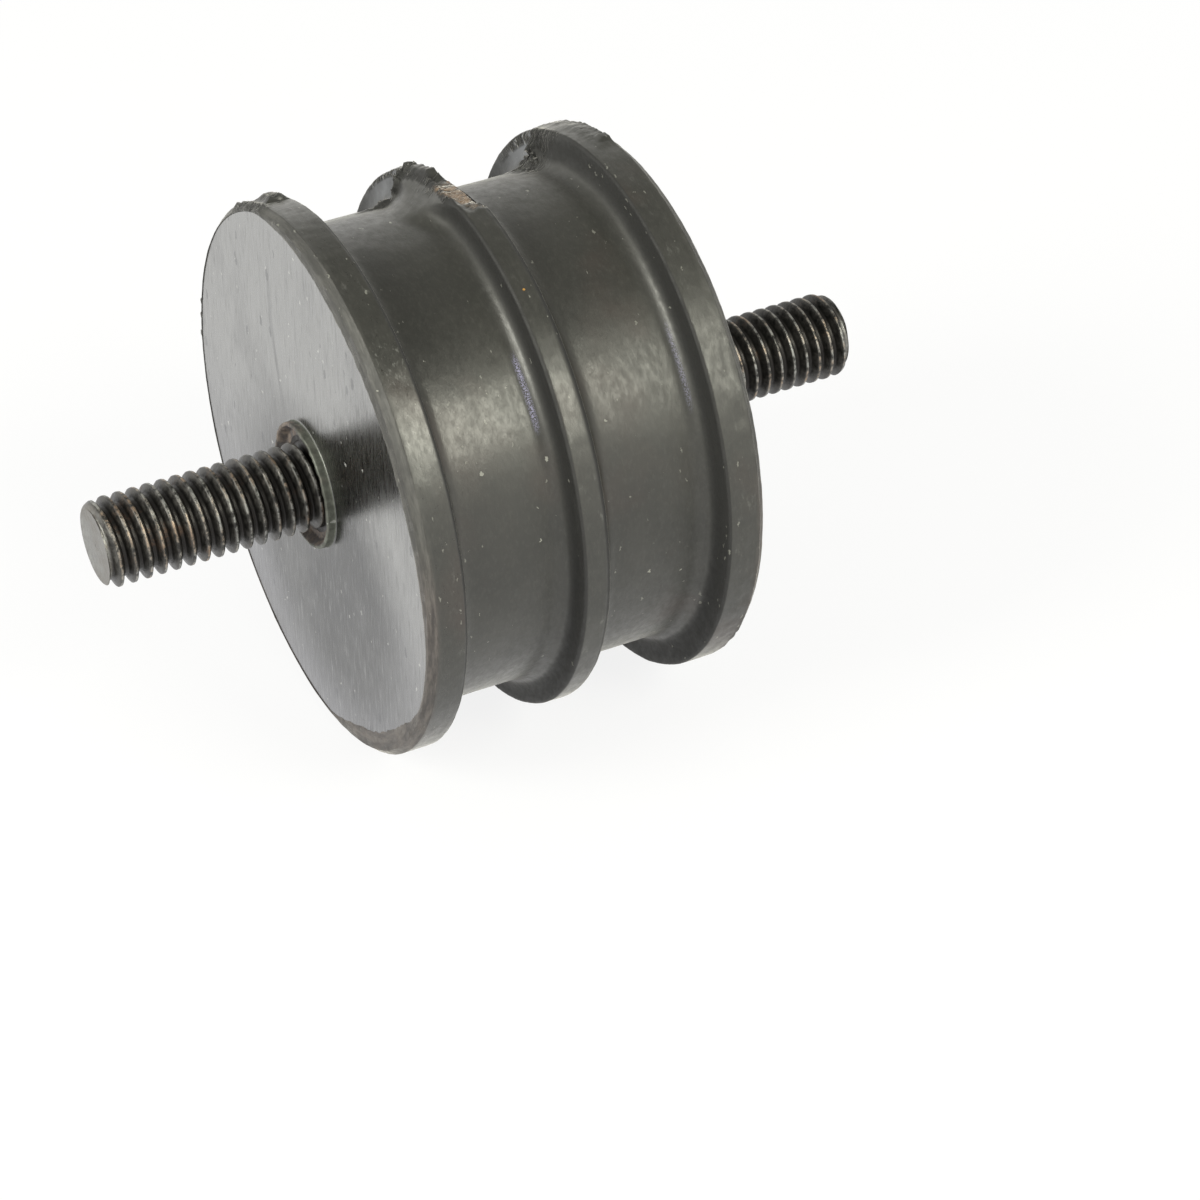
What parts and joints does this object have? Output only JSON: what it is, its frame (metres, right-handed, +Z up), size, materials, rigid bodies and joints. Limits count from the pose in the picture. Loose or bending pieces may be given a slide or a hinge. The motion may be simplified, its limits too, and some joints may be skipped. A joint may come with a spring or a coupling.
{
  "type": "bobbin vibration mount",
  "caption": "Round rubber bobbin mount with a middle rib on a narrower waist, bonded between round steel end plates that each carry a threaded stud on the axis.",
  "frame": {"origin": "on the mount's axis, in the front plate's seating face, where the front stud leaves it", "axes": "+X along the axis from the front plate to the rear stud, the front stud points to -X; +Z up as the mount lies on its rims"},
  "size_m": [0.0874, 0.06, 0.06],
  "materials": {
    "rubber": "satin black moulded rubber, slightly glossy, with dust specks",
    "plate": "dark coated steel, satin, faintly streaked",
    "centre_plate": "rusty steel edge",
    "stud": "dark oiled steel thread with a trace of rust"
  },
  "bodies": {
    "root": {"rubber_body": "rubber", "front_plate": "plate", "rear_plate": "plate", "centre_plate": "centre_plate", "front_stud": "stud", "rear_stud": "stud"}
  },
  "joints": []
}
